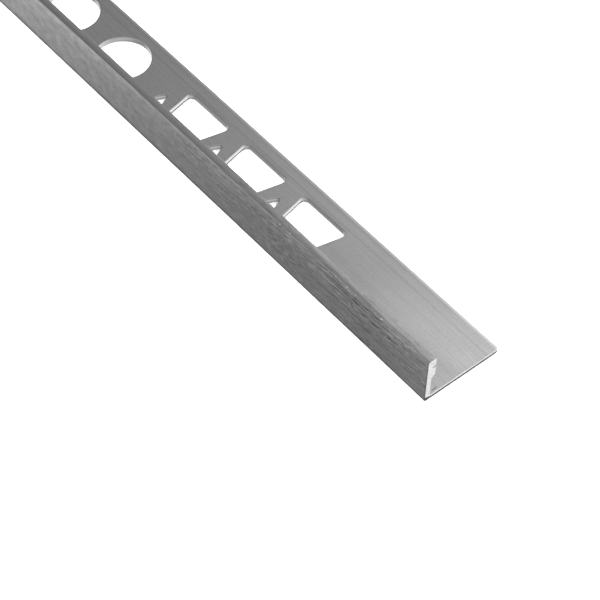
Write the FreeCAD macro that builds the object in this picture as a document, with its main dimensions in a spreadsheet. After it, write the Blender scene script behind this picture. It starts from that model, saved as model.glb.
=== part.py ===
import FreeCAD, Part
import os
import Sketcher

# Tile edge trim: one extruded aluminium angle with a thickened head and a punched leg.
# Millimetres. The leg lies flat on Z = 0 and the origin is at the middle of its underside.
# X runs along the trim, Y from the wall's outer face to the leg's free edge, and Z is up.
# The punching starts from the end at +X.

SIZES = {
    "trimLength": 1000.0,    # stock length
    "trimHeight": 12.5,      # underside of the leg to the top of the head
    "legWidth": 20.0,        # outer face of the wall to the leg's free edge
    "legThickness": 1.3,
    "wallThickness": 1.2,    # wall below the head
    "headWidth": 2.1,        # thickened head that shows beside the tile
    "headDepth": 5.0,        # height of the head at its full width
    "taperDrop": 0.9,        # height of the slope under the head
    "noseRadius": 0.5,       # outer top edge
    "heelRadius": 0.25,      # outer bottom edge
    "rootRadius": 0.4,       # inside corner between wall and leg
    "edgeBreak": 0.2,        # the other outward lengthwise edges
    "bareEnd": 42.0,         # unpunched leg at the +X end
    "lastBare": 30.0,        # least unpunched leg at the other end
    "slotCount": 3,          # dovetail slots in a group
    "slotPitch": 19.8,
    "slotLand": 5.5,         # metal between the wide ends of neighbouring slots
    "slotTaper": 2.4,        # how far each side of a slot leans in
    "slotTipLand": 4.1,      # metal between a slot and the free edge
    "slotWallLand": 5.1,     # from the outer face to a slot's narrow end
    "slotCorner": 1.3,       # corner radius of a slot
    "wedgeWeb": 2.2,         # metal between a wedge hole's base and a slot
    "wedgeReach": 6.7,       # from base to point of a wedge hole
    "wedgeCorner": 0.65,     # corner radius of a wedge hole
    "roundCount": 2,         # round holes in a group
    "roundLand": 6.5,        # metal between neighbouring round holes
    "roundTipLand": 2.9,     # metal between a round hole and the free edge
    "roundWallLand": 3.8,    # from the outer face to a round hole
    "familyLand": 11.9,      # metal between the slots and the round holes
}

# Sizes that follow from the driving ones
WIDE_END = "(Sizes.slotPitch - Sizes.slotLand)"
NARROW_END = f"({WIDE_END} - 2 * Sizes.slotTaper)"
SLOT_REACH = "(Sizes.legWidth - Sizes.slotTipLand - Sizes.slotWallLand)"
SLOTS_SPAN = f"({WIDE_END} + (Sizes.slotCount - 1) * Sizes.slotPitch)"
WEDGE_BASE = "(Sizes.slotLand + 2 * Sizes.slotTaper - 2 * Sizes.wedgeWeb)"
ROUND_DIAMETER = "(Sizes.legWidth - Sizes.roundTipLand - Sizes.roundWallLand)"
ROUND_PITCH = f"({ROUND_DIAMETER} + Sizes.roundLand)"
ROUNDS_SPAN = f"({ROUND_DIAMETER} + (Sizes.roundCount - 1) * {ROUND_PITCH})"
GROUP_SPAN = f"({SLOTS_SPAN} + Sizes.familyLand + {ROUNDS_SPAN})"
GROUP_PITCH = f"({GROUP_SPAN} + Sizes.familyLand)"
PUNCHED_RUN = "(Sizes.trimLength - Sizes.bareEnd - Sizes.lastBare)"
GROUP_COUNT = f"floor(({PUNCHED_RUN} - {GROUP_SPAN}) / {GROUP_PITCH}) + 1"
FIRST_SLOT_EDGE = "(Sizes.trimLength / 2 - Sizes.bareEnd)"

ORIGIN = (-1, 1)             # the sketch's own origin, as geometry and point
TOUCHING = 1e-4              # how closely an edge's place is matched

doc = FreeCAD.newDocument("TileEdgeTrim")
sheet = doc.addObject("Spreadsheet::Sheet", "Sizes")
for row, (alias, value) in enumerate(SIZES.items(), start=1):
    sheet.set(f"A{row}", alias)
    sheet.set(f"B{row}", str(value))
    sheet.setAlias(f"B{row}", alias)

body = doc.addObject("PartDesign::Body", "EdgeTrim")
body.Label = "edge_trim"
body.Placement = FreeCAD.Placement()
doc.recompute()


def originPart(role):
    """The body's own origin plane or axis with this role."""
    return next(item for item in body.Origin.OriginFeatures if item.Role == role)


def sketchOn(role, name):
    sketch = body.newObject("Sketcher::SketchObject", name)
    sketch.AttachmentSupport = [(originPart(role), "")]
    sketch.MapMode = "FlatFace"
    return sketch


def closedOutline(sketch, corners):
    """Draw straight lines from corner to corner and join their ends."""
    lines = []
    for start, end in zip(corners, corners[1:] + corners[:1]):
        segment = Part.LineSegment(FreeCAD.Vector(*start, 0), FreeCAD.Vector(*end, 0))
        lines.append(sketch.addGeometry(segment, False))
    for line, following in zip(lines, lines[1:] + lines[:1]):
        sketch.addConstraint(Sketcher.Constraint("Coincident", line, 2, following, 1))
    return lines


def bind(sketch, kind, name, points, expression):
    """Hold a distance between two points, or a circle's diameter, to an expression."""
    flat = [number for point in points for number in point]
    index = sketch.addConstraint(Sketcher.Constraint(kind, *flat, 1.0))
    sketch.renameConstraint(index, name)
    sketch.setExpression("Constraints." + name, expression)


def edgeNames(shape, wanted):
    return [f"Edge{count}" for count, edge in enumerate(shape.Edges, start=1) if wanted(edge)]


def fillet(name, base, edges, radius):
    feature = body.newObject("PartDesign::Fillet", name)
    feature.Base = (base, edges)
    feature.setExpression("Radius", radius)
    feature.Refine = False
    doc.recompute()
    return feature


def lengthwiseEdges(shape, places):
    """Edges along X that pass through any of these (Y, Z) places."""
    def wanted(edge):
        box = edge.BoundBox
        if box.YLength > TOUCHING or box.ZLength > TOUCHING:
            return False
        return any(abs(box.YMin - y) < TOUCHING and abs(box.ZMin - z) < TOUCHING for y, z in places)
    return edgeNames(shape, wanted)


def roundCorners(sketch, lines, name, radius):
    """Fillet each corner that a line's end makes with the next line."""
    doc.recompute()
    arcs = []
    for line in lines:
        arcs.append(sketch.GeometryCount)
        sketch.fillet(line, 2, sheet.get(radius), True, True)
    index = sketch.addConstraint(Sketcher.Constraint("Radius", arcs[0], sheet.get(radius)))
    sketch.renameConstraint(index, name)
    sketch.setExpression("Constraints." + name, "Sizes." + radius)
    for arc in arcs[1:]:
        sketch.addConstraint(Sketcher.Constraint("Equal", arcs[0], arc))


def punch(name, sketch):
    """Cut a sketch on the underside up through the leg, and check that it took metal away."""
    solid = body.Tip.Shape.Volume
    pocket = body.newObject("PartDesign::Pocket", name)
    pocket.Profile = sketch
    pocket.Type = "Length"
    pocket.Reversed = True
    pocket.Refine = False
    pocket.setExpression("Length", "Sizes.legThickness")
    doc.recompute()
    if not pocket.Shape.Volume < solid:
        raise RuntimeError(name + " cut nothing")
    return pocket


def straightRow(name, count, pitch):
    """One repeat along the trim, away from +X."""
    pattern = body.newObject("PartDesign::LinearPattern", name)
    pattern.Direction = (originPart("X_Axis"), [""])
    pattern.Reversed = True
    pattern.Mode = "Spacing"
    pattern.setExpression("Offset", pitch)
    pattern.setExpression("Occurrences", count)
    return pattern


def repeatHole(name, pocket, count, pitch):
    """Repeat a hole within its group, and the group along the trim."""
    holes = body.newObject("PartDesign::MultiTransform", name)
    holes.Originals = [pocket]
    holes.Refine = False
    inGroup = straightRow(name + "InGroup", count, pitch)
    alongTrim = straightRow(name + "AlongTrim", GROUP_COUNT, GROUP_PITCH)
    holes.Transformations = [inGroup, alongTrim]
    body.Tip = holes
    doc.recompute()


# The extruded section, seen from the end at +X with Y to the right
height = sheet.get("trimHeight")
width = sheet.get("legWidth")
leg = sheet.get("legThickness")
outer = -width / 2
wall = outer + sheet.get("wallThickness")
head = outer + sheet.get("headWidth")
headFoot = height - sheet.get("headDepth")
taperFoot = headFoot - sheet.get("taperDrop")

section = sketchOn("YZ_Plane", "Section")
under, tip, bed, inner, taper, headFace, crown, face = closedOutline(section, [
    (outer, 0.0), (-outer, 0.0), (-outer, leg), (wall, leg),
    (wall, taperFoot), (head, headFoot), (head, height), (outer, height),
])
for line in (under, bed, crown):
    section.addConstraint(Sketcher.Constraint("Horizontal", line))
for line in (tip, inner, headFace, face):
    section.addConstraint(Sketcher.Constraint("Vertical", line))
section.addConstraint(Sketcher.Constraint("Symmetric", under, 1, under, 2, *ORIGIN))
bind(section, "DistanceX", "width", [(under, 1), (under, 2)], "Sizes.legWidth")
bind(section, "DistanceY", "leg", [(tip, 1), (tip, 2)], "Sizes.legThickness")
bind(section, "DistanceX", "wall", [(under, 1), (inner, 1)], "Sizes.wallThickness")
bind(section, "DistanceX", "head", [(under, 1), (headFace, 1)], "Sizes.headWidth")
bind(section, "DistanceY", "headDepth", [(headFace, 1), (headFace, 2)], "Sizes.headDepth")
bind(section, "DistanceY", "taper", [(taper, 1), (taper, 2)], "Sizes.taperDrop")
bind(section, "DistanceY", "height", [(under, 1), (face, 1)], "Sizes.trimHeight")

extrusion = body.newObject("PartDesign::Pad", "Extrusion")
extrusion.Profile = section
extrusion.SideType = "Symmetric"
extrusion.setExpression("Length", "Sizes.trimLength")
doc.recompute()

nose = fillet("Nose", extrusion, lengthwiseEdges(extrusion.Shape, [(outer, height)]),
              "Sizes.noseRadius")
heel = fillet("Heel", nose, lengthwiseEdges(nose.Shape, [(outer, 0.0)]), "Sizes.heelRadius")
root = fillet("Root", heel, lengthwiseEdges(heel.Shape, [(wall, leg)]), "Sizes.rootRadius")
outwardEdges = [(-outer, 0.0), (-outer, leg), (head, height), (head, headFoot)]
fillet("BrokenEdges", root, lengthwiseEdges(root.Shape, outwardEdges), "Sizes.edgeBreak")

# Each hole is drawn roughly, and its constraints give it its size and place.
# Dovetail slot, wide end towards the free edge
slotSketch = sketchOn("XY_Plane", "SlotOutline")
wideEnd, farSide, narrowEnd, nearSide = closedOutline(
    slotSketch, [(2.0, 2.0), (-2.0, 2.0), (-1.0, -2.0), (1.0, -2.0)])
for line in (wideEnd, narrowEnd):
    slotSketch.addConstraint(Sketcher.Constraint("Horizontal", line))
bind(slotSketch, "DistanceX", "place", [ORIGIN, (wideEnd, 1)], FIRST_SLOT_EDGE)
bind(slotSketch, "DistanceX", "wide", [(wideEnd, 2), (wideEnd, 1)], WIDE_END)
bind(slotSketch, "DistanceX", "narrow", [(narrowEnd, 1), (narrowEnd, 2)], NARROW_END)
bind(slotSketch, "DistanceX", "lean", [(nearSide, 1), (nearSide, 2)], "Sizes.slotTaper")
bind(slotSketch, "DistanceY", "reach", [(nearSide, 1), (nearSide, 2)], SLOT_REACH)
bind(slotSketch, "DistanceY", "tipLand", [ORIGIN, (wideEnd, 1)],
     "Sizes.legWidth / 2 - Sizes.slotTipLand")
roundCorners(slotSketch, [wideEnd, farSide, narrowEnd, nearSide], "corner", "slotCorner")
repeatHole("Slots", punch("Slot", slotSketch), "Sizes.slotCount", "Sizes.slotPitch")

# Wedge hole in the metal beyond each slot, its base in line with the slots' narrow ends
wedgeSketch = sketchOn("XY_Plane", "WedgeOutline")
base, rise, fall = closedOutline(wedgeSketch, [(-1.0, -1.0), (1.0, -1.0), (0.0, 1.0)])
wedgeSketch.addConstraint(Sketcher.Constraint("Horizontal", base))
bind(wedgeSketch, "DistanceX", "base", [(base, 1), (base, 2)], WEDGE_BASE)
bind(wedgeSketch, "DistanceX", "middle", [(base, 1), (rise, 2)], f"{WEDGE_BASE} / 2")
bind(wedgeSketch, "DistanceY", "reach", [(base, 1), (rise, 2)], "Sizes.wedgeReach")
bind(wedgeSketch, "DistanceX", "place", [ORIGIN, (rise, 2)],
     f"{FIRST_SLOT_EDGE} - {WIDE_END} / 2 - Sizes.slotPitch / 2")
bind(wedgeSketch, "DistanceY", "wallLand", [(base, 1), ORIGIN],
     "Sizes.legWidth / 2 - Sizes.slotWallLand")
roundCorners(wedgeSketch, [base, rise, fall], "corner", "wedgeCorner")
repeatHole("Wedges", punch("Wedge", wedgeSketch), "Sizes.slotCount", "Sizes.slotPitch")

# Round holes beyond the slots of each group
roundSketch = sketchOn("XY_Plane", "RoundOutline")
circle = roundSketch.addGeometry(
    Part.Circle(FreeCAD.Vector(0, 0, 0), FreeCAD.Vector(0, 0, 1), 1.0), False)
bind(roundSketch, "Diameter", "diameter", [(circle,)], ROUND_DIAMETER)
bind(roundSketch, "DistanceX", "place", [ORIGIN, (circle, 3)],
     f"{FIRST_SLOT_EDGE} - {SLOTS_SPAN} - Sizes.familyLand - {ROUND_DIAMETER} / 2")
bind(roundSketch, "DistanceY", "tipLand", [ORIGIN, (circle, 3)],
     f"Sizes.legWidth / 2 - Sizes.roundTipLand - {ROUND_DIAMETER} / 2")
repeatHole("Rounds", punch("Round", roundSketch), "Sizes.roundCount", ROUND_PITCH)

doc.recompute()
for item in doc.Objects:
    if "Invalid" in item.State or "Error" in item.State:
        raise RuntimeError(item.Name + " failed: " + ", ".join(item.State))
if body.Shape.isNull() or not body.Shape.isValid() or len(body.Shape.Solids) != 1:
    raise RuntimeError(body.Label + " is not one sound solid")

os.makedirs("parts", exist_ok=True)
body.Shape.exportStep(os.path.join("parts", body.Label + ".step"))
print(body.Label, "volume", round(body.Shape.Volume, 1), "faces", len(body.Shape.Faces))
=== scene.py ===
import math

import bmesh
import bpy
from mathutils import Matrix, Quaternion, Vector


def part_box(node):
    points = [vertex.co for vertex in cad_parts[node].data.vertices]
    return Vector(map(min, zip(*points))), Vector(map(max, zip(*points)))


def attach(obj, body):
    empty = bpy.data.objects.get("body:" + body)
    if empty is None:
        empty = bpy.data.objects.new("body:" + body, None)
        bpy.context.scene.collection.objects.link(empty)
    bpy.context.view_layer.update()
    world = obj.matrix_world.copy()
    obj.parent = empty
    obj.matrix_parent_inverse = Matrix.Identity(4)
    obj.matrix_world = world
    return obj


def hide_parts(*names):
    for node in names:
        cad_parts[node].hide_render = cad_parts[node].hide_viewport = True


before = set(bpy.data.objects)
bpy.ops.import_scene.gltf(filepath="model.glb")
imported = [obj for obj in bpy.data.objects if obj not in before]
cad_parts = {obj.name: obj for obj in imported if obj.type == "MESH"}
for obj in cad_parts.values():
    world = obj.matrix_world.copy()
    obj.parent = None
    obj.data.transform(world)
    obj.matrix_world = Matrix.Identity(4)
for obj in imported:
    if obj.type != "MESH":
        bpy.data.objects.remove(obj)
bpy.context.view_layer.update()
trimLow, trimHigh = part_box("edge_trim")
trimLength = trimHigh.x - trimLow.x
legWidth = trimHigh.y - trimLow.y
outerFace = trimLow.y    # wall's outer face
legTip = trimHigh.y      # leg's free edge
crown = trimHigh.z       # top of the head
nearEnd = trimHigh.x     # the end that the camera stands near
farEnd = trimLow.x
print("frame loaded, trim", round(trimLength, 4), "m long")

mm = 0.001
touch = 0.01 * mm        # slack where a place is compared with a bound


# Selecting and shaping

def deselectAll():
    if bpy.context.object and bpy.context.object.mode != "OBJECT":
        bpy.ops.object.mode_set(mode="OBJECT")
    bpy.ops.object.select_all(action="DESELECT")


def makeActive(piece):
    deselectAll()
    piece.select_set(True)
    bpy.context.view_layer.objects.active = piece


def edit(piece):
    makeActive(piece)
    bpy.ops.object.mode_set(mode="EDIT")


def pick(kind, wanted):
    # kind is VERT or EDGE; leaves only the wanted ones selected and says how many
    bpy.ops.mesh.select_mode(type=kind)
    bpy.ops.mesh.select_all(action="DESELECT")
    data = bpy.context.edit_object.data
    mesh = bmesh.from_edit_mesh(data)
    parts = {"VERT": mesh.verts, "EDGE": mesh.edges}[kind]
    found = [part for part in parts if wanted(part)]
    for part in found:
        part.select_set(True)
    mesh.select_flush_mode()
    bmesh.update_edit_mesh(data)
    return len(found)


def near(a, b, within=0.002 * mm):
    return abs(a - b) < within


def uprightEdges(wantedPlace):
    def wanted(edge):
        a, b = (end.co for end in edge.verts)
        return near(a.x, b.x) and near(a.y, b.y) and wantedPlace(a)
    return wanted


def cutAcross(place, normal):
    # a new loop of edges where a plane crosses the whole piece
    bpy.ops.mesh.select_all(action="SELECT")
    bpy.ops.mesh.bisect(plane_co=place, plane_no=normal)


def slide(x=0.0, y=0.0, z=0.0):
    bpy.ops.transform.translate(value=(x, y, z))


def pullUp(z):
    bpy.ops.mesh.extrude_region_move(TRANSFORM_OT_translate={"value": (0, 0, z)})


def roundEdges(radius, segments):
    bpy.ops.mesh.bevel(offset_type="OFFSET", offset=radius, segments=segments, profile=0.5,
                       affect="EDGES", clamp_overlap=False)


def applyModifiers(piece):
    makeActive(piece)
    for modifier in list(piece.modifiers):
        bpy.ops.object.modifier_apply(modifier=modifier.name)


def arrayCopies(piece, count, pitch):
    row = piece.modifiers.new("row", "ARRAY")
    row.count = count
    row.use_relative_offset = False
    row.use_constant_offset = True
    row.constant_offset_displace = (-pitch, 0, 0)


# Trim, an extruded angle with a thickened head

trim = {
    "leg": 1.3 * mm,
    "wall": 1.2 * mm,
    "head": 2.1 * mm,
    "headDepth": 5.0 * mm,
    "taperDrop": 0.9 * mm,
    "noseRadius": 0.5 * mm,
    "heelRadius": 0.25 * mm,
    "rootRadius": 0.4 * mm,
    "edgeBreak": 0.2 * mm,
    "cornerRound": 0.4 * mm,     # the leg's corners, in plan
    "endBreak": 0.05 * mm,       # filed edge round each sawn end
    "smoothAngle": 32.0,         # degrees, edges up to this are shaded smooth
    "flatsWeight": 100,          # how strongly the flats lead the shading of the edges beside them
}
wallInside = outerFace + trim["wall"]
headInside = outerFace + trim["head"]
headFoot = crown - trim["headDepth"]
taperFoot = headFoot - trim["taperDrop"]


def alongX(y, z):
    def wanted(edge):
        return all(near(end.co.y, y) and near(end.co.z, z) for end in edge.verts)
    return wanted


def roundAlong(y, z, radius, segments):
    if not pick("EDGE", alongX(y, z)):
        raise RuntimeError("no edge along X at %.5f, %.5f" % (y, z))
    roundEdges(radius, segments)


def tipEdge(z):
    # the leg's free edge at this height, with the round corners at its ends
    def wanted(edge):
        return all(near(end.co.z, z) and end.co.y > legTip - trim["cornerRound"] - touch
                   for end in edge.verts)
    return wanted


def endOutline(edge):
    # between a sawn end and a side
    atEnd = all(near(abs(end.co.x), nearEnd) for end in edge.verts)
    return atEnd and any(abs(face.normal.x) < 0.5 for face in edge.link_faces)


def extrudeTrim():
    bpy.ops.mesh.primitive_plane_add(size=1, location=(farEnd, 0, trim["leg"] / 2),
                                     rotation=(0, math.radians(90), 0))
    piece = bpy.context.object
    piece.name = "trim"
    piece.scale = (trim["leg"], legWidth, 1)
    bpy.ops.object.transform_apply(location=True, rotation=True, scale=True)
    edit(piece)
    cutAcross((farEnd, wallInside, 0), (0, 1, 0))
    pick("EDGE", lambda edge: all(near(end.co.z, trim["leg"]) and end.co.y < wallInside + touch
                                  for end in edge.verts))
    pullUp(taperFoot - trim["leg"])
    pullUp(trim["taperDrop"])
    pick("VERT", lambda vert: near(vert.co.z, headFoot) and near(vert.co.y, wallInside))
    slide(y=headInside - wallInside)
    pick("EDGE", lambda edge: all(near(end.co.z, headFoot) for end in edge.verts))
    pullUp(trim["headDepth"])
    bpy.ops.mesh.select_mode(type="FACE")
    bpy.ops.mesh.select_all(action="SELECT")
    bpy.ops.mesh.extrude_region_move(TRANSFORM_OT_translate={"value": (trimLength, 0, 0)})
    bpy.ops.mesh.select_all(action="SELECT")
    bpy.ops.mesh.remove_doubles(threshold=0.001 * mm)
    bpy.ops.mesh.normals_make_consistent(inside=False)
    pick("EDGE", uprightEdges(lambda place: near(place.y, legTip)))
    roundEdges(trim["cornerRound"], segments=5)
    roundAlong(outerFace, crown, trim["noseRadius"], segments=6)
    roundAlong(outerFace, 0, trim["heelRadius"], segments=4)
    roundAlong(wallInside, trim["leg"], trim["rootRadius"], segments=5)
    for z in (0, trim["leg"]):
        pick("EDGE", tipEdge(z))
        roundEdges(trim["edgeBreak"], segments=3)
    roundAlong(headInside, headFoot, trim["edgeBreak"], segments=3)
    pick("EDGE", endOutline)
    roundEdges(trim["endBreak"], segments=2)
    bpy.ops.object.mode_set(mode="OBJECT")
    return piece


# Punching, in groups along the leg

punching = {
    "bareEnd": 42.0 * mm,
    "lastBare": 30.0 * mm,
    "slotCount": 3,
    "slotPitch": 19.8 * mm,
    "slotLand": 5.5 * mm,
    "slotTaper": 2.4 * mm,
    "slotTipLand": 4.1 * mm,
    "slotWallLand": 5.1 * mm,
    "slotCorner": 1.3 * mm,
    "wedgeWeb": 2.2 * mm,
    "wedgeReach": 6.7 * mm,
    "wedgeCorner": 0.65 * mm,
    "roundCount": 2,
    "roundLand": 6.5 * mm,
    "roundTipLand": 2.9 * mm,
    "roundWallLand": 3.8 * mm,
    "familyLand": 11.9 * mm,
    "breakHeight": 0.50 * mm,    # the punched wall is smooth above this and torn below
    "breakFlare": 0.07 * mm,     # how far the torn part opens out at the underside
    "rollRadius": 0.2 * mm,      # rolled rim on top
    "rollClear": 1.0 * mm,       # no rim is rolled this close to a sawn end
    "rollSquare": 0.3,           # radians, how far a rim's corner may be from a right angle
    "clear": 0.5 * mm,           # how far a cutter stands out of the leg
}
sawMarks = {
    "nickBelow": 2.3 * mm,    # down from the crown, in the head's inner side
    "nickDeep": 0.9 * mm,     # across the head
    "nickHigh": 0.36 * mm,
    "nickLong": 0.5 * mm,     # along the trim
    "nickTilt": 14.0,         # degrees
    "nickTaper": (0.45, 0.5),  # its inner end's share of that length and height
    "slipBack": 0.55 * mm,    # a slip of the saw, this far in from the near end
    "slipStart": 0.9 * mm,    # from the wall's inner face
    "slipLong": 1.5 * mm,
    "slipWide": 0.2 * mm,
    "slipDeep": 0.07 * mm,
    "slipTurn": 5.0,          # degrees
    "slipTaper": (0.4, 0.8),  # its bottom's share of that width and length
}
wideEnd = punching["slotPitch"] - punching["slotLand"]
slotReach = legWidth - punching["slotTipLand"] - punching["slotWallLand"]
slotsSpan = wideEnd + (punching["slotCount"] - 1) * punching["slotPitch"]
wedgeBase = punching["slotLand"] + 2 * punching["slotTaper"] - 2 * punching["wedgeWeb"]
roundSize = legWidth - punching["roundTipLand"] - punching["roundWallLand"]
roundPitch = roundSize + punching["roundLand"]
roundsSpan = roundSize + (punching["roundCount"] - 1) * roundPitch
groupSpan = slotsSpan + punching["familyLand"] + roundsSpan
groupPitch = groupSpan + punching["familyLand"]
punchedRun = trimLength - punching["bareEnd"] - punching["lastBare"]
groupCount = math.floor((punchedRun - groupSpan) / groupPitch) + 1
firstSlotEdge = nearEnd - punching["bareEnd"]


def cornerReach(radius, angle):
    # how far an arc of this radius reaches along the sides of a corner
    return radius / math.tan(angle / 2)


def flareBelow(piece):
    # opens the cutter out below the height where the metal tore
    edit(piece)
    cutAcross((0, 0, punching["breakHeight"]), (0, 0, 1))
    pick("VERT", lambda vert: vert.co.z < 0)
    xs = [vert.co.x for vert in piece.data.vertices]
    ys = [vert.co.y for vert in piece.data.vertices]
    spread = 2 * punching["breakFlare"] * (1 + punching["clear"] / punching["breakHeight"])
    bpy.ops.transform.resize(value=(1 + spread / (max(xs) - min(xs)), 1 + spread / (max(ys) - min(ys)), 1),
                             center_override=((max(xs) + min(xs)) / 2, (max(ys) + min(ys)) / 2, 0))
    bpy.ops.object.mode_set(mode="OBJECT")


def repeatAlong(cutter, count, pitch):
    # flares a cutter, then copies it within a group and the group along the leg
    flareBelow(cutter)
    arrayCopies(cutter, count, pitch)
    arrayCopies(cutter, groupCount, groupPitch)
    applyModifiers(cutter)


def cutterHeight():
    return trim["leg"] + 2 * punching["clear"]


def makeSlotCutter():
    middle = firstSlotEdge - wideEnd / 2
    low = outerFace + punching["slotWallLand"]
    bpy.ops.mesh.primitive_cube_add(size=1, location=(middle, low + slotReach / 2, trim["leg"] / 2))
    cutter = bpy.context.object
    cutter.scale = (wideEnd, slotReach, cutterHeight())
    bpy.ops.object.transform_apply(location=True, rotation=False, scale=True)
    edit(cutter)
    pick("VERT", lambda vert: near(vert.co.y, low))
    narrow = (wideEnd - 2 * punching["slotTaper"]) / wideEnd
    bpy.ops.transform.resize(value=(narrow, 1, 1), center_override=(middle, low, 0))
    sharp = math.atan2(slotReach, punching["slotTaper"])
    pick("EDGE", uprightEdges(lambda place: near(place.y, low + slotReach)))
    roundEdges(cornerReach(punching["slotCorner"], sharp), segments=10)
    pick("EDGE", uprightEdges(lambda place: near(place.y, low)))
    roundEdges(cornerReach(punching["slotCorner"], math.pi - sharp), segments=8)
    bpy.ops.object.mode_set(mode="OBJECT")
    repeatAlong(cutter, punching["slotCount"], punching["slotPitch"])
    return cutter


def makeWedgeCutter():
    middle = firstSlotEdge - wideEnd / 2 - punching["slotPitch"] / 2
    base = outerFace + punching["slotWallLand"]
    reach = punching["wedgeReach"]
    bpy.ops.mesh.primitive_cube_add(size=1, location=(middle, base + reach / 2, trim["leg"] / 2))
    cutter = bpy.context.object
    cutter.scale = (wedgeBase, reach, cutterHeight())
    bpy.ops.object.transform_apply(location=True, rotation=False, scale=True)
    edit(cutter)
    for z in (trim["leg"] / 2 - cutterHeight() / 2, trim["leg"] / 2 + cutterHeight() / 2):
        pick("VERT", lambda vert: near(vert.co.y, base + reach) and near(vert.co.z, z))
        bpy.ops.mesh.merge(type="CENTER")
    point = 2 * math.atan2(wedgeBase / 2, reach)
    pick("EDGE", uprightEdges(lambda place: near(place.y, base + reach)))
    roundEdges(cornerReach(punching["wedgeCorner"], point), segments=8)
    pick("EDGE", uprightEdges(lambda place: near(place.y, base)))
    roundEdges(cornerReach(punching["wedgeCorner"], (math.pi - point) / 2), segments=8)
    bpy.ops.object.mode_set(mode="OBJECT")
    repeatAlong(cutter, punching["slotCount"], punching["slotPitch"])
    return cutter


def makeRoundCutter():
    middle = firstSlotEdge - slotsSpan - punching["familyLand"] - roundSize / 2
    centre = legTip - punching["roundTipLand"] - roundSize / 2
    bpy.ops.mesh.primitive_cylinder_add(vertices=96, radius=roundSize / 2, depth=cutterHeight(),
                                        location=(middle, centre, trim["leg"] / 2))
    cutter = bpy.context.object
    bpy.ops.object.transform_apply(location=True, rotation=False, scale=True)
    repeatAlong(cutter, punching["roundCount"], roundPitch)
    return cutter


def makeNickCutter():
    # a chip out of the head's inner side, at the near end
    bpy.ops.mesh.primitive_cube_add(size=2, location=(nearEnd, headInside, crown - sawMarks["nickBelow"]),
                                    rotation=(math.radians(sawMarks["nickTilt"]), 0, 0))
    cutter = bpy.context.object
    cutter.scale = (sawMarks["nickLong"], sawMarks["nickDeep"], sawMarks["nickHigh"] / 2)
    edit(cutter)
    pick("VERT", lambda vert: vert.co.y < 0)
    long, high = sawMarks["nickTaper"]
    bpy.ops.transform.resize(value=(long, 1, high))
    bpy.ops.object.mode_set(mode="OBJECT")
    bpy.ops.object.transform_apply(location=True, rotation=True, scale=True)
    return cutter


def makeSlipCutter():
    # a shallow groove where the saw slipped, across the leg beside the wall
    middle = wallInside + sawMarks["slipStart"] + sawMarks["slipLong"] / 2
    bpy.ops.mesh.primitive_cube_add(size=2, location=(nearEnd - sawMarks["slipBack"], middle, trim["leg"]),
                                    rotation=(0, 0, math.radians(sawMarks["slipTurn"])))
    cutter = bpy.context.object
    cutter.scale = (sawMarks["slipWide"] / 2, sawMarks["slipLong"] / 2, sawMarks["slipDeep"])
    edit(cutter)
    pick("VERT", lambda vert: vert.co.z < 0)
    bpy.ops.transform.resize(value=(*sawMarks["slipTaper"], 1))
    bpy.ops.object.mode_set(mode="OBJECT")
    bpy.ops.object.transform_apply(location=True, rotation=True, scale=True)
    return cutter


def isRim(edge):
    # where a punched wall meets the leg's top at a right angle
    if not all(near(end.co.z, trim["leg"]) for end in edge.verts) or len(edge.link_faces) != 2:
        return False
    if any(abs(end.co.x) > nearEnd - punching["rollClear"] for end in edge.verts):
        return False
    return abs(edge.calc_face_angle(0) - math.pi / 2) < punching["rollSquare"]


def punchTrim(piece):
    cutters = [makeSlotCutter(), makeWedgeCutter(), makeRoundCutter(), makeNickCutter(), makeSlipCutter()]
    deselectAll()
    for cutter in cutters:
        cutter.select_set(True)
    bpy.context.view_layer.objects.active = cutters[0]
    bpy.ops.object.join()
    punch = piece.modifiers.new("punch", "BOOLEAN")
    punch.object = cutters[0]
    punch.operation = "DIFFERENCE"
    punch.solver = "EXACT"
    applyModifiers(piece)
    bpy.data.objects.remove(cutters[0])
    edit(piece)
    rims = pick("EDGE", isRim)
    roundEdges(punching["rollRadius"], segments=4)
    bpy.ops.object.mode_set(mode="OBJECT")
    print("punched", groupCount, "groups,", rims, "rim edges rolled")


trimPiece = extrudeTrim()
print("section extruded", len(trimPiece.data.polygons), "faces")
punchTrim(trimPiece)
print("trim has", len(trimPiece.data.polygons), "faces")


# Finishes

noiseMost = (0.3, 0.7)      # most of a noise lies between these levels
noiseCore = (0.35, 0.65)    # and its middle between these
noiseMiddle = 0.5
noiseRoughness = 0.55

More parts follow.
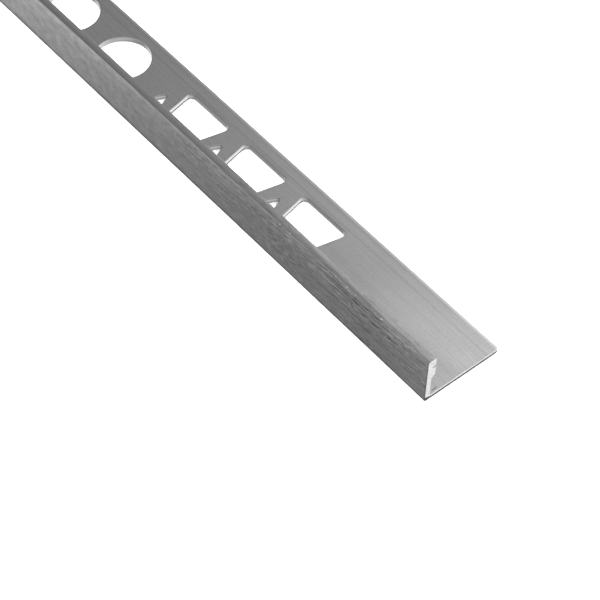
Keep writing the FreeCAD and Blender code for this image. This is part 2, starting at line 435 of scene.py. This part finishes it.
brushed = {
    "tone": (0.45, 0.46),                 # where the brush pressed lightly and where it pressed hard
    "pressing": 300.0 * mm,               # the pressure comes and goes in a wave of this length
    "pressed": (-0.7, 0.6),               # it grows between these heights of the wave
    "softBelow": (2.0 * mm, 9.0 * mm),    # down the wall it falls off between these heights
    "softShare": 0.55,                    # to this share
    "slant": 2.8,                         # degrees that the strokes climb towards the near end
    "line": (26.0 * mm, 0.27 * mm),       # the brush's dark lines
    "lineLevels": (0.36, 0.52),           # of the noise, between which a line fades
    "dash": (1.7 * mm, 0.5 * mm),         # they are broken into dashes of this length
    "dashLevels": (0.42, 0.54),
    "dashDepth": 0.76,
    "scratch": (6.0 * mm, 0.24 * mm),
    "scratchLevels": (0.36, 0.48),
    "scratchDepth": 0.32,
    "shine": (22.0 * mm, 0.25 * mm),      # lighter lines between them
    "shineLevels": (0.50, 0.64),
    "gleam": (2.4 * mm, 0.5 * mm),        # and the length that they show over
    "gleamLevels": (0.46, 0.58),
    "shineLift": 0.92,
    "cluster": (11.0 * mm, 2.0 * mm),     # the strokes gather in places of this size
    "clusterLevels": (0.38, 0.58),
    "sparse": 0.78,                       # and have this share of their depth between them
    "blotch": (2.5 * mm, 1.7 * mm),       # uneven patches where it pressed lightly
    "blotchDepth": 0.19,
    "speckle": 0.27 * mm,
    "speckleDepth": 0.13,
    "upper": (5.0 * mm, 0.20),            # painted light, lighter from this height up to the crown, by this share
    "lowerShade": (0.3 * mm, 2.6 * mm, 0.86),  # painted shade low down the wall, where it pressed lightly
    "underRidgeHighlight": (1.4 * mm, 0.9 * mm),       # a painted highlight there under the ridge too, fading between these depths
    "underRidgeHighlightLift": 0.18,
    "underRidgeHighlightLeast": 0.3,                   # its faintest places have this share of the lift
    "endLight": (18.0 * mm, 0.16),         # painted light near the ends, over this length and by this share
    "heel": (0.35 * mm, 0.85 * mm),       # painted shade along the wall's foot, full below the first height and none above the second
    "softHeel": 1.10 * mm,                # the upper of these heights where it pressed lightly
    "heelTone": 0.34,
    "endEdgeShade": (0.45 * mm, 0.12 * mm),       # painted shade towards the sawn ends, between these distances from them
    "endEdgeShadeTone": 0.62,
    "rough": (0.34, 0.46),
    "spread": 0.6,                        # how far the gloss spreads across the strokes
    "relief": 0.010 * mm,
}
crownTop = {
    "brushedTone": (0.38, 0.60),      # where the brush ran over the head, outer side and inner side
    "bareTone": (0.56, 0.69),         # where it didn't, the same way
    "bareStrength": 0.30,             # its strokes show on there by this share
    "pressed": (-0.9, 0.6, 0.25, 1),  # from and to this height of the pressure's wave, and the shares there
    "strength": 0.38,
    "hair": (9.0 * mm, 0.30 * mm),
    "hairDepth": 0.11,
    "reach": (1.0, 0.60),             # the brushed part widens from the ridge to the whole head
    "waver": (5.0 * mm, 1.0),         # its edge wavers over this length
    "wavered": 0.16 * mm,             # by so much
    "fray": (10.0 * mm, 0.14 * mm),   # and the strokes end unevenly along it
    "frayed": 0.30 * mm,
    "blur": 0.05 * mm,                # each side of that edge
    "line": 0.17 * mm,                # light line along the edge
    "lineCore": 0.4,                  # the share of it that is fully light
    "lineLift": 0.16,
    "glint": 1.8 * mm,                # there may be a painted glint in each cell of this width
    "glintSize": 0.20 * mm,
    "glintLift": 1.45,                # times as bright
    # painted light near the ends, over this length and by this share
    "endLight": (14.0 * mm, 0.04),
}
ridge = {
    "nearTone": (0.90, 0.985, 0.32, 0.40),   # from and to this height of the wave, and the painted highlight's tones there
    "farTone": (0.30, -1.00, 0.34, 0.44),
    "marked": (0.0, 0.6),     # the brush's marks and the painted glints come in between these heights of it
    "strength": 0.22,         # how strongly the marks show
    "blob": (4.5 * mm, 0.5 * mm),
    "blobDepth": 0.15,
    "glint": 0.9 * mm,
    "glintSize": 0.17 * mm,
    "glintLift": 2.2,
    "rough": 0.42,
}
mill = {
    "tone": 0.585,
    "dieLine": (400.0 * mm, 0.42 * mm),
    "dieDepth": 0.02,
    "hair": (30.0 * mm, 0.34 * mm),
    "hairDepth": 0.06,
    "cloud": (26.0 * mm, 6.0 * mm),
    "cloudDepth": 0.03,
    "speckle": 0.30 * mm,
    "speckleDepth": 0.055,
    "speckleRelief": 0.4,     # as a share of the die lines' relief
    "tipHighlight": (0.73 * mm, 0.40 * mm),    # a painted highlight along the free edge, between these distances in from it
    "tipHighlightLift": 0.42,
    "seam": 1.10 * mm,        # a die mark this far in from the free edge
    "seamShade": 0.93,
    "innerSeam": 3.15 * mm,   # and a darker one further in
    "innerShade": 0.90,
    "seamWidth": 0.48 * mm,
    "slotSideShade": 1.1 * mm,     # painted shade on the leg's top, reaching so far outside a slot
    "slotSideShadeTone": 0.83,
    # painted light near the ends, over this length and by this share
    "endLight": (32.0 * mm, 0.29),
    "lean": (120.0 * mm, 0.82, 1.07),     # towards the ends, painted shade beside the wall and painted light at the tip
    # painted glints, one in some cells of this width
    "millGlint": 6.0 * mm,
    "millGlintSize": 0.13 * mm,
    "millGlintLift": 0.35,
    "rough": (0.30, 0.36),
    "spread": 0.3,
    "relief": 0.002 * mm,
}
glintShape = {
    "width": 0.6,             # as a share of a glint's length
    "chance": (0.45, 1.0),    # a cell that draws less than the first has none, and one that draws more
                              # has a brighter one
    "core": 0.3,              # the share of a glint that is fully bright
}
sawn = {
    "tone": (0.81, 0.96),
    "kerf": (2.6 * mm, 0.09 * mm),
    "kerfTilt": 35.0,
    "tornAndShadedBelow": 0.70 * mm,   # darker below this height, partly where the saw tore the underside and partly painted shade near the floor
    "cornerTornAndShaded": 0.55 * mm,  # and so much higher at the corner under the wall, painted shade there
    "tear": 0.2 * mm,
    "ragged": 0.08 * mm,      # how far the torn edge jumps up and down
    "blur": 0.05 * mm,
    "torn": 0.10,
    "rough": (0.42, 0.62),
    "relief": 0.02 * mm,
}
punched = {
    "torn": 0.17,
    "cleanRound": 0.72,       # the round punch was sharper and tore nothing
    "smooth": 0.80,
    "rolled": 0.46,           # the rolled rim along a hole's outer side, painted dark as shade like the leg's top beside it
    "burnished": (0.60, 0.74),       # the outer side's wall, below and above: a copy of the punched finish with painted light on its lower part
    "chipped": 0.21,                 # the nick in the head and the slip beside the wall
    "tornRough": 0.7,
    "smoothRough": 0.34,
    "scrape": (0.10 * mm, 0.10 * mm, 1.5 * mm),
    "scraped": (0.88, 1.04),
    "ragged": 0.06 * mm,
    "blur": 0.02 * mm,
    "relief": 0.01 * mm,
}


def addNode(tree, kind, inputs=None, **settings):
    node = tree.nodes.new("ShaderNode" + kind)
    for name, value in settings.items():
        setattr(node, name, value)
    for name, value in (inputs or {}).items():
        if isinstance(value, bpy.types.NodeSocket):
            tree.links.new(value, node.inputs[name])
        else:
            node.inputs[name].default_value = value
    return node


def startMaterial(name):
    material = bpy.data.materials.new(name)
    material.use_nodes = True
    tree = material.node_tree
    surface = tree.nodes["Principled BSDF"]
    surface.inputs["Metallic"].default_value = 1.0
    place = addNode(tree, "TexCoord").outputs["Object"]
    return material, tree, surface, place


def split(tree, place):
    return addNode(tree, "SeparateXYZ", {"Vector": place}).outputs


def turned(tree, place, axis, degrees):
    return addNode(tree, "VectorRotate", {"Vector": place, "Angle": math.radians(degrees)},
                   rotation_type=axis).outputs[0]


def grain(tree, place, cell, detail=2.0):
    # noise whose cells have this size along X, Y and Z
    spread = addNode(tree, "Mapping", {"Vector": place, "Scale": tuple(1 / size for size in cell)})
    return addNode(tree, "TexNoise", {"Vector": spread.outputs[0], "Scale": 1.0, "Detail": detail,
                                      "Roughness": noiseRoughness}).outputs[0]


def lengthwise(tree, place, cell, detail=2.0):
    long, fine = cell
    return grain(tree, place, (long, fine, fine), detail)


def levels(tree, value, low, high, toLow=0.0, toHigh=1.0):
    return addNode(tree, "MapRange", {"Value": value, "From Min": low, "From Max": high,
                                      "To Min": toLow, "To Max": toHigh}).outputs[0]


def uneven(tree, noise, share, within=noiseMost):
    # about 1, less and more by this share
    return levels(tree, noise, *within, 1 - share, 1 + share)


def swing(tree, noise, reach):
    # from this far one way to this far the other
    return levels(tree, noise, *noiseMost, -reach, reach)


def combine(tree, operation, a, b=0.0):
    return addNode(tree, "Math", {0: a, 1: b}, operation=operation).outputs[0]


def product(tree, first, *others):
    for other in others:
        first = combine(tree, "MULTIPLY", first, other)
    return first


def blend(tree, factor, a, b):
    # a number between a and b
    return addNode(tree, "Mix", {0: factor, 2: a, 3: b}).outputs[0]


def paint(tree, surface, tone):
    parts = {name: tone for name in ("Red", "Green", "Blue")}
    tree.links.new(addNode(tree, "CombineColor", parts).outputs[0], surface.inputs["Base Color"])


def relief(tree, surface, height, distance):
    bump = addNode(tree, "Bump", {"Height": height, "Distance": distance})
    tree.links.new(bump.outputs[0], surface.inputs["Normal"])


def grainAlongTrim(tree, surface, amount):
    # the gloss spreads across the trim, as on metal that is brushed lengthwise
    along = addNode(tree, "CombineXYZ", {"X": 1.0})
    world = addNode(tree, "VectorTransform", {"Vector": along.outputs[0]}, vector_type="VECTOR",
                    convert_from="OBJECT", convert_to="WORLD")
    tree.links.new(world.outputs[0], surface.inputs["Tangent"])
    surface.inputs["Anisotropic"].default_value = amount
    surface.inputs["Anisotropic Rotation"].default_value = 0.25    # a quarter turn


def brushTurn(tree, place):
    # the pressure's wave along the trim, 1 at the near end and -1 half a length on
    fromEnd = combine(tree, "SUBTRACT", nearEnd, split(tree, place)["X"])
    return combine(tree, "COSINE", combine(tree, "MULTIPLY", fromEnd, 2 * math.pi / brushed["pressing"]))


def edgeShade(tree, place, turn):
    # painted shade along the wall's foot and near the sawn ends
    parts = split(tree, place)
    heelLow, heelHigh = brushed["heel"]
    endShadeFar, endShadeNear = brushed["endEdgeShade"]
    heelTop = levels(tree, turn, *brushed["pressed"], brushed["softHeel"], heelHigh)
    heel = levels(tree, parts["Z"], heelLow, heelTop, brushed["heelTone"], 1)
    endEdgeShade = levels(tree, combine(tree, "ABSOLUTE", parts["X"]), nearEnd - endShadeFar, nearEnd - endShadeNear,
                  1, brushed["endEdgeShadeTone"])
    return product(tree, heel, endEdgeShade)


def endLightLift(tree, place, reach, lift):
    # painted light, rising towards both ends
    fromMiddle = combine(tree, "ABSOLUTE", split(tree, place)["X"])
    return levels(tree, fromMiddle, nearEnd - reach, nearEnd, 1, 1 + lift)


def glints(tree, place, pitch, size):
    # 1 in a painted glint and 0 beside it: some cells of the pitch have one, of any brightness
    scale = (glintShape["width"] / pitch, 1 / pitch, 1 / pitch)
    spread = addNode(tree, "Mapping", {"Vector": place, "Scale": scale}).outputs[0]
    field = addNode(tree, "TexVoronoi", {"Vector": spread, "Scale": 1.0}, voronoi_dimensions="2D").outputs
    chance = addNode(tree, "SeparateColor", {"Color": field["Color"]}).outputs["Red"]
    core = glintShape["core"] * size / pitch
    return product(tree, levels(tree, chance, *glintShape["chance"]),
                   levels(tree, field["Distance"], core, size / pitch, 1, 0))


def brushMarks(tree, place):
    # 1 on plain metal, less in a stroke and more beside it, and the strokes by themselves
    slanted = turned(tree, place, "Y_AXIS", brushed["slant"])
    stroke = lengthwise(tree, slanted, brushed["line"], detail=1.0)

    def faded(name, toLow=0.0, toHigh=1.0):
        noise = lengthwise(tree, slanted, brushed[name], detail=1.0)
        return levels(tree, noise, *brushed[name + "Levels"], toLow, toHigh)

    dark = product(tree, levels(tree, stroke, *brushed["lineLevels"], 1, 0), faded("dash"))
    light = product(tree, faded("shine"), faded("gleam"))
    marks = product(tree, levels(tree, dark, 0, 1, 1, 1 - brushed["dashDepth"]),
                    faded("scratch", 1 - brushed["scratchDepth"], 1),
                    levels(tree, light, 0, 1, 1, 1 + brushed["shineLift"]))
    return blend(tree, faded("cluster", brushed["sparse"], 1), 1.0, marks), stroke


def finishBrushed(tree, surface, tone, stroke, pressure, height):
    paint(tree, surface, tone)
    smoothest, roughest = brushed["rough"]
    stroke = blend(tree, pressure, noiseMiddle, stroke)
    tree.links.new(levels(tree, stroke, *noiseCore, roughest, smoothest), surface.inputs["Roughness"])
    relief(tree, surface, height, brushed["relief"])
    grainAlongTrim(tree, surface, brushed["spread"])


def brushedFinish():
    material, tree, surface, place = startMaterial("brushed")
    height = split(tree, place)["Z"]
    turn = brushTurn(tree, place)
    pressure = product(tree, levels(tree, turn, *brushed["pressed"]),
                       levels(tree, height, *brushed["softBelow"], brushed["softShare"], 1))
    marks, stroke = brushMarks(tree, place)
    marks = blend(tree, pressure, 1.0, marks)
    blotch = lengthwise(tree, place, brushed["blotch"], detail=3.0)
    speckle = grain(tree, place, (brushed["speckle"],) * 3, detail=1.0)
    blob = lengthwise(tree, place, ridge["blob"], detail=3.0)
    underRidgeHighlight = product(tree, levels(tree, height, *(crown - depth for depth in brushed["underRidgeHighlight"])),
                     levels(tree, blob, *noiseCore, brushed["underRidgeHighlightLeast"], 1))
    lowest, low, lowShade = brushed["lowerShade"]
    # uneven patches, with painted shade low down and a painted highlight under the ridge
    blotchesShadeAndHighlight = product(tree, uneven(tree, blotch, brushed["blotchDepth"]),
                   levels(tree, height, lowest, low, lowShade, 1),
                   levels(tree, underRidgeHighlight, 0, 1, 1, 1 + brushed["underRidgeHighlightLift"]))
    upper, upperLightLift = brushed["upper"]
    tone = product(tree, blend(tree, pressure, *brushed["tone"]), marks, blend(tree, pressure, blotchesShadeAndHighlight, 1.0),
                   uneven(tree, speckle, brushed["speckleDepth"]),
                   levels(tree, height, upper, crown, 1, 1 + upperLightLift),
                   endLightLift(tree, place, *brushed["endLight"]),
                   edgeShade(tree, place, turn))
    finishBrushed(tree, surface, tone, stroke, pressure, marks)
    return material


def crownFinish():
    # the brush ran over the head too, further in the further it is from the near end
    material, tree, surface, place = startMaterial("crown")
    across = split(tree, place)["Y"]
    outside = outerFace + trim["noseRadius"]
    waver = lengthwise(tree, place, crownTop["waver"], detail=3.0)
    fray = lengthwise(tree, place, crownTop["fray"])
    turn = brushTurn(tree, place)
    reach = levels(tree, turn, *crownTop["reach"], outside, headInside)
    reach = combine(tree, "ADD", reach, swing(tree, waver, crownTop["wavered"]))
    reach = combine(tree, "ADD", reach, swing(tree, fray, crownTop["frayed"]))
    beyond = combine(tree, "SUBTRACT", across, reach)
    bare = levels(tree, beyond, -crownTop["blur"], crownTop["blur"])
    line = levels(tree, combine(tree, "ABSOLUTE", beyond), crownTop["lineCore"] * crownTop["line"],
                  crownTop["line"], 1, 0)
    pressure = product(tree, levels(tree, turn, *crownTop["pressed"]), crownTop["strength"])
    marks, stroke = brushMarks(tree, place)
    marks = blend(tree, blend(tree, bare, pressure, crownTop["bareStrength"]), 1.0, marks)
    brushedOver = levels(tree, across, outside, headInside, *crownTop["brushedTone"])
    hair = lengthwise(tree, place, crownTop["hair"])
    glint = glints(tree, place, crownTop["glint"], crownTop["glintSize"])
    plain = product(tree, levels(tree, across, outside, headInside, *crownTop["bareTone"]),
                    uneven(tree, hair, crownTop["hairDepth"], noiseCore),
                    levels(tree, glint, 0, 1, 1, crownTop["glintLift"]))
    tone = product(tree, blend(tree, bare, brushedOver, plain), marks,
                   levels(tree, line, 0, 1, 1, 1 + crownTop["lineLift"]),
                   endLightLift(tree, place, *crownTop["endLight"]))
    finishBrushed(tree, surface, tone, stroke, pressure, marks)
    return material


def ridgeFinish():
    # the rounded top edge of the wall, with a painted highlight, brighter in blobs at the near end and far
    # along
    material, tree, surface, place = startMaterial("ridge")
    turn = brushTurn(tree, place)
    ridgeHighlight = combine(tree, "MAXIMUM", levels(tree, turn, *ridge["nearTone"]),
                   levels(tree, turn, *ridge["farTone"]))
    marked = levels(tree, turn, *ridge["marked"])
    marks = brushMarks(tree, place)[0]
    blob = lengthwise(tree, place, ridge["blob"], detail=3.0)
    glint = product(tree, glints(tree, place, ridge["glint"], ridge["glintSize"]), marked)
    tone = product(tree, ridgeHighlight, blend(tree, product(tree, marked, ridge["strength"]), 1.0, marks),
                   uneven(tree, blob, ridge["blobDepth"], noiseCore),
                   levels(tree, glint, 0, 1, 1, ridge["glintLift"]))
    paint(tree, surface, tone)
    surface.inputs["Roughness"].default_value = ridge["rough"]
    grainAlongTrim(tree, surface, brushed["spread"])
    return material


def dieMark(tree, across, inFromTip, shade):
    # a dark line along the leg, so far in from its free edge
    away = combine(tree, "ABSOLUTE", combine(tree, "SUBTRACT", across, legTip - inFromTip))
    return levels(tree, away, 0, mill["seamWidth"], shade, 1)


def besideSlots(tree, parts):
    # 1 on the leg's top outside each slot, where the painted shade goes, and 0 elsewhere
    fromFirst = combine(tree, "SUBTRACT", firstSlotEdge, parts["X"])
    inGroup = combine(tree, "FLOORED_MODULO", fromFirst, groupPitch)
    inPitch = combine(tree, "FLOORED_MODULO", inGroup, punching["slotPitch"])
    corner = punching["slotCorner"]
    overSlot = product(tree, levels(tree, inPitch, 0, corner),
                       levels(tree, inPitch, wideEnd - corner, wideEnd, 1, 0),
                       combine(tree, "LESS_THAN", inGroup, slotsSpan),
                       combine(tree, "LESS_THAN", fromFirst, groupCount * groupPitch))
    slotMiddle = legTip - punching["slotTipLand"] - slotReach / 2
    return product(tree, overSlot, combine(tree, "GREATER_THAN", parts["Y"], slotMiddle),
                   combine(tree, "GREATER_THAN", parts["Z"], trim["leg"] / 2))


def millFinish():
    # the leg and the wall's inner side, as the die and the rollers left them, with painted light and shade
    material, tree, surface, place = startMaterial("mill")
    parts = split(tree, place)
    across = parts["Y"]
    dieLine = lengthwise(tree, place, mill["dieLine"], detail=3.0)
    hair = lengthwise(tree, place, mill["hair"])
    cloud = lengthwise(tree, place, mill["cloud"])
    speckle = grain(tree, place, (mill["speckle"],) * 3, detail=1.0)
    millGlint = glints(tree, place, mill["millGlint"], mill["millGlintSize"])
    slotTop = legTip - punching["slotTipLand"]
    slotSideShade = levels(tree, across, slotTop, slotTop + mill["slotSideShade"], mill["slotSideShadeTone"], 1)
    leanReach, shadeBesideWall, lightAtTip = mill["lean"]
    towardsEnd = levels(tree, combine(tree, "ABSOLUTE", parts["X"]), nearEnd - leanReach, nearEnd)
    lean = levels(tree, across, wallInside, legTip, shadeBesideWall, lightAtTip)
    tipHighlightFrom, tipHighlightTo = (legTip - inward for inward in mill["tipHighlight"])
    tone = product(tree, mill["tone"],
                   levels(tree, millGlint, 0, 1, 1, 1 + mill["millGlintLift"]),
                   blend(tree, towardsEnd, 1.0, lean),
                   uneven(tree, dieLine, mill["dieDepth"]),
                   uneven(tree, hair, mill["hairDepth"]),
                   uneven(tree, cloud, mill["cloudDepth"]),
                   uneven(tree, speckle, mill["speckleDepth"]),
                   dieMark(tree, across, mill["seam"], mill["seamShade"]),
                   dieMark(tree, across, mill["innerSeam"], mill["innerShade"]),
                   blend(tree, besideSlots(tree, parts), 1.0, slotSideShade),
                   levels(tree, across, tipHighlightFrom, tipHighlightTo, 1, 1 + mill["tipHighlightLift"]),
                   endLightLift(tree, place, *mill["endLight"]))
    paint(tree, surface, tone)
    smoothest, roughest = mill["rough"]
    tree.links.new(levels(tree, cloud, *noiseMost, roughest, smoothest), surface.inputs["Roughness"])
    height = combine(tree, "ADD", dieLine, product(tree, speckle, mill["speckleRelief"]))
    relief(tree, surface, height, mill["relief"])
    grainAlongTrim(tree, surface, mill["spread"])
    return material


def sawnFinish():
    # the sawn ends, with a dark band at their foot that is partly torn metal and partly painted shade
    material, tree, surface, place = startMaterial("sawn")
    kerfPlace = turned(tree, place, "X_AXIS", sawn["kerfTilt"])
    long, fine = sawn["kerf"]
    kerf = grain(tree, kerfPlace, (long, long, fine))
    tear = grain(tree, place, (sawn["tear"],) * 3)
    parts = split(tree, place)
    height = combine(tree, "ADD", parts["Z"], swing(tree, tear, sawn["ragged"]))
    corner = levels(tree, parts["Y"], outerFace, wallInside + trim["rootRadius"], sawn["cornerTornAndShaded"], 0)
    height = combine(tree, "SUBTRACT", height, corner)
    whole = levels(tree, height, sawn["tornAndShadedBelow"] - sawn["blur"], sawn["tornAndShadedBelow"] + sawn["blur"])
    paint(tree, surface, blend(tree, whole, sawn["torn"], levels(tree, kerf, *noiseCore, *sawn["tone"])))
    smoothest, roughest = sawn["rough"]
    tree.links.new(levels(tree, kerf, *noiseMost, roughest, smoothest), surface.inputs["Roughness"])
    relief(tree, surface, kerf, sawn["relief"])
    return material


def punchedFinish(name, torn, burnished):
    # a punched wall is burnished near the top and torn below
    material, tree, surface, place = startMaterial(name)
    scrape = grain(tree, place, punched["scrape"])
    ragged = combine(tree, "ADD", split(tree, place)["Z"], swing(tree, scrape, punched["ragged"]))
    smooth = levels(tree, ragged, punching["breakHeight"] - punched["blur"],
                    punching["breakHeight"] + punched["blur"])
    paint(tree, surface, product(tree, blend(tree, smooth, torn, burnished),
                                 levels(tree, scrape, *noiseMost, *punched["scraped"])))
    tree.links.new(blend(tree, smooth, punched["tornRough"], punched["smoothRough"]),
                   surface.inputs["Roughness"])
    relief(tree, surface, scrape, punched["relief"])
    return material


# Where one finish ends and the next begins

sorting = {
    "square": 0.9,              # an outward direction this far along an axis counts as square to it
    "chipWithin": 1.0 * mm,     # the nick and the slip lie this close to the near end
    "chipIn": 0.6 * mm,         # so far in from the wall's outer or inner face
    "nickClear": 0.3 * mm,      # the nick stays this far from the head's foot and from the crown
    "nickSkin": 0.02 * mm,      # and this far from the head's inner face
    "slipClear": 5.0 * mm,      # the slip stays this far from the free edge
    "slipAbove": 0.5 * mm,      # from the underside
    "slipSkin": 0.005 * mm,     # and from the leg's top
    "holeClear": 1.0 * mm,      # the holes stay this far from the wall and from the free edge
    "holeEnd": 10.0 * mm,       # and this far from the ends
    "rolled": (-0.3, 0.15),     # a rolled rim looks towards the wall and up by more than this
    "burnished": -0.35,         # an outer side looks towards the wall by more than this
    "crownUp": 0.95,
    "ridge": (-0.1, 0.35),      # the ridge looks outwards and up by more than this
    "brushed": (-0.3, 0.3),     # what else looks outwards or, on the head, up by more than this is brushed
}


def inNick(y, z):
    inside = outerFace + sorting["chipIn"] < y < headInside - sorting["nickSkin"]
    return inside and headFoot + sorting["nickClear"] < z < crown - sorting["nickClear"]


def inSlip(y, z):
    inside = wallInside + sorting["chipIn"] < y < legTip - sorting["slipClear"]
    return inside and sorting["slipAbove"] < z < trim["leg"] - sorting["slipSkin"]


def inHole(x, y, z):
    inside = wallInside + sorting["holeClear"] < y < legTip - sorting["holeClear"]
    return inside and z < trim["leg"] and abs(x) < nearEnd - sorting["holeEnd"]


def looks(normal, outAndUp):
    out, up = outAndUp
    return normal.y < out and normal.z > up


def finishOf(face):
    # a finish by a face's place and the way it looks
    x, y, z = face.center
    normal = face.normal
    if abs(normal.x) > sorting["square"] and near(abs(x), nearEnd, touch):
        return "sawn"
    if x > nearEnd - sorting["chipWithin"] and (inNick(y, z) or inSlip(y, z)):
        return "chipped"
    if inHole(x, y, z) and abs(normal.z) < sorting["square"]:
        if (firstSlotEdge - x) % groupPitch > slotsSpan + punching["familyLand"] / 2:
            return "roundPunched"
        if looks(normal, sorting["rolled"]):
            return "rolled"
        return "burnished" if normal.y < sorting["burnished"] else "punched"
    if z > headFoot and normal.z > sorting["crownUp"]:
        return "crown"
    if z > headFoot and looks(normal, sorting["ridge"]):
        return "ridge"
    out, up = sorting["brushed"]
    if normal.y < out or (z > headFoot and normal.z > up):
        return "brushed"
    return "mill"


def finishTrim(piece):
    finishes = [
        brushedFinish(),
        crownFinish(),
        ridgeFinish(),
        millFinish(),
        sawnFinish(),
        punchedFinish("punched", punched["torn"], punched["smooth"]),
        punchedFinish("roundPunched", punched["cleanRound"], punched["cleanRound"]),
        punchedFinish("rolled", punched["rolled"], punched["rolled"]),
        # painted light on the outer side's walls
        punchedFinish("burnished", *punched["burnished"]),
        punchedFinish("chipped", punched["chipped"], punched["chipped"]),
    ]
    for material in finishes:
        piece.data.materials.append(material)
    names = [material.name for material in finishes]
    for face in piece.data.polygons:
        face.material_index = names.index(finishOf(face))
    makeActive(piece)
    bpy.ops.object.shade_smooth_by_angle(angle=math.radians(trim["smoothAngle"]))
    weighted = piece.modifiers.new("flats", "WEIGHTED_NORMAL")
    weighted.keep_sharp = True
    weighted.weight = trim["flatsWeight"]
    applyModifiers(piece)


finishTrim(trimPiece)
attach(trimPiece, "root")
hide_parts("edge_trim")
print("finishes put on")


# Floor

floor = {
    "size": 8.0,
    "colour": (0.9, 0.9, 0.9, 1),
    "rough": 0.8,
}


def layFloor():
    deselectAll()
    bpy.ops.mesh.primitive_plane_add(size=floor["size"], location=(0, 0, 0))
    piece = bpy.context.object
    piece.name = "floor"
    material = bpy.data.materials.new("floor")
    material.use_nodes = True
    surface = material.node_tree.nodes["Principled BSDF"]
    surface.inputs["Base Color"].default_value = floor["colour"]
    surface.inputs["Roughness"].default_value = floor["rough"]
    piece.data.materials.append(material)
    piece.visible_glossy = False    # the metal mirrors the studio, not the floor


layFloor()


# Camera, where the photograph was taken from

camera = {
    "aim": (nearEnd - 35.42 * mm, -12.65 * mm, 0),
    "azimuth": 48.78,
    "elevation": 50.73,
    "distance": 411.7 * mm,
    "roll": 2.0,
    "lens": 120.0,
    "sensor": 36.0,
    "clip": (0.01, 50.0),
}


def standBack(thing, aim, azimuth, elevation, distance, roll=0.0):
    # azimuth 0 stands at -Y and 90 at +X, and the thing looks back at the aim
    a = math.radians(azimuth)
    e = math.radians(elevation)
    back = Vector((math.sin(a) * math.cos(e), -math.cos(a) * math.cos(e), math.sin(e)))
    thing.location = Vector(aim) + back * distance
    turn = (-back).to_track_quat("-Z", "Y") @ Quaternion((0, 0, 1), math.radians(roll))
    thing.rotation_euler = turn.to_euler()


def placeCamera():
    viewer = bpy.data.objects.new("camera", bpy.data.cameras.new("camera"))
    bpy.context.scene.collection.objects.link(viewer)
    viewer.data.lens = camera["lens"]
    viewer.data.sensor_width = camera["sensor"]
    viewer.data.clip_start, viewer.data.clip_end = camera["clip"]
    standBack(viewer, camera["aim"], camera["azimuth"], camera["elevation"], camera["distance"],
              camera["roll"])
    bpy.context.scene.camera = viewer


placeCamera()


# Light

lightAim = (nearEnd - 60 * mm, 0, 0)
lights = {
    "topSoftbox": {"azimuth": -139, "elevation": 62, "distance": 1.0, "size": (0.5, 0.4), "glow": 0.35},
    "leftStrip": {"azimuth": -46, "elevation": 22, "distance": 1.0, "size": (0.4, 0.25), "glow": 0.6},
    "rightSoftbox": {"azimuth": 115, "elevation": 18, "distance": 1.0, "size": (0.6, 0.5), "glow": 1.5},
}

# What the metal mirrors, by direction: right is +X, front is -Y and above is +Z.
# Four numbers are the two directions that a zone changes between and the light at each. Two numbers are
# the directions between which one zone goes over into the next.
studio = {
    "floorLight": 3.0,                         # this lights the floor instead
    "frontBelow": (-0.59, -0.70, 0.30, 1.20),  # low in front, near end and far end
    "rightBelow": 0.62,                        # low at the right, in front
    "frontToRight": (-0.05, 0.35),
    "leftBelow": (0.50, 0.70, 0.45, 1.25),     # low at the left, beside and behind
    "backBelow": (0.56, 0.62, 1.25, 0.55),     # low behind, straight and to the right
    "leftToBack": (-0.1, 0.2),
    "frontToBack": (-0.1, 0.35),
    "frontAbove": (-0.50, -0.65, 0.75, 0.95),  # high in front, near end and far end
    "backAbove": (-0.36, -0.52, 0.74, 0.26),   # high behind, near end and far end
    "overhead": 0.20,
    "overheadToBack": (0.05, 0.30),
    "overheadToFront": (-0.08, -0.40),
    "belowToAbove": (-0.2, 0.1),
}


def hangLights():
    for name, light in lights.items():
        lamp = bpy.data.lights.new(name, "AREA")
        lamp.shape = "RECTANGLE"
        lamp.size, lamp.size_y = light["size"]
        lamp.energy = light["glow"] * math.pi * lamp.size * lamp.size_y
        thing = bpy.data.objects.new(name, lamp)
        bpy.context.scene.collection.objects.link(thing)
        standBack(thing, lightAim, light["azimuth"], light["elevation"], light["distance"])


def paintStudio():
    world = bpy.data.worlds.new("studio")
    bpy.context.scene.world = world
    world.use_nodes = True
    world.cycles.sampling_method = "NONE"
    tree = world.node_tree
    light = tree.nodes["Background"]
    right, back, up = split(tree, addNode(tree, "TexCoord").outputs["Generated"])

    def zone(direction, name):
        return levels(tree, direction, *studio[name])

    front = blend(tree, zone(right, "frontToRight"), zone(right, "frontBelow"), studio["rightBelow"])
    rear = blend(tree, zone(right, "leftToBack"), zone(back, "leftBelow"), zone(right, "backBelow"))
    below = blend(tree, zone(back, "frontToBack"), front, rear)
    above = blend(tree, zone(back, "overheadToBack"), studio["overhead"], zone(right, "backAbove"))
    above = blend(tree, zone(back, "overheadToFront"), above, zone(right, "frontAbove"))
    mirrored = blend(tree, zone(up, "belowToAbove"), below, above)
    glossy = addNode(tree, "LightPath").outputs["Is Glossy Ray"]
    tree.links.new(blend(tree, glossy, studio["floorLight"], mirrored), light.inputs["Strength"])
    light.inputs["Color"].default_value = (1, 1, 1, 1)


hangLights()
paintStudio()
bpy.context.scene.view_settings.view_transform = "Standard"
print("camera and lights stand")
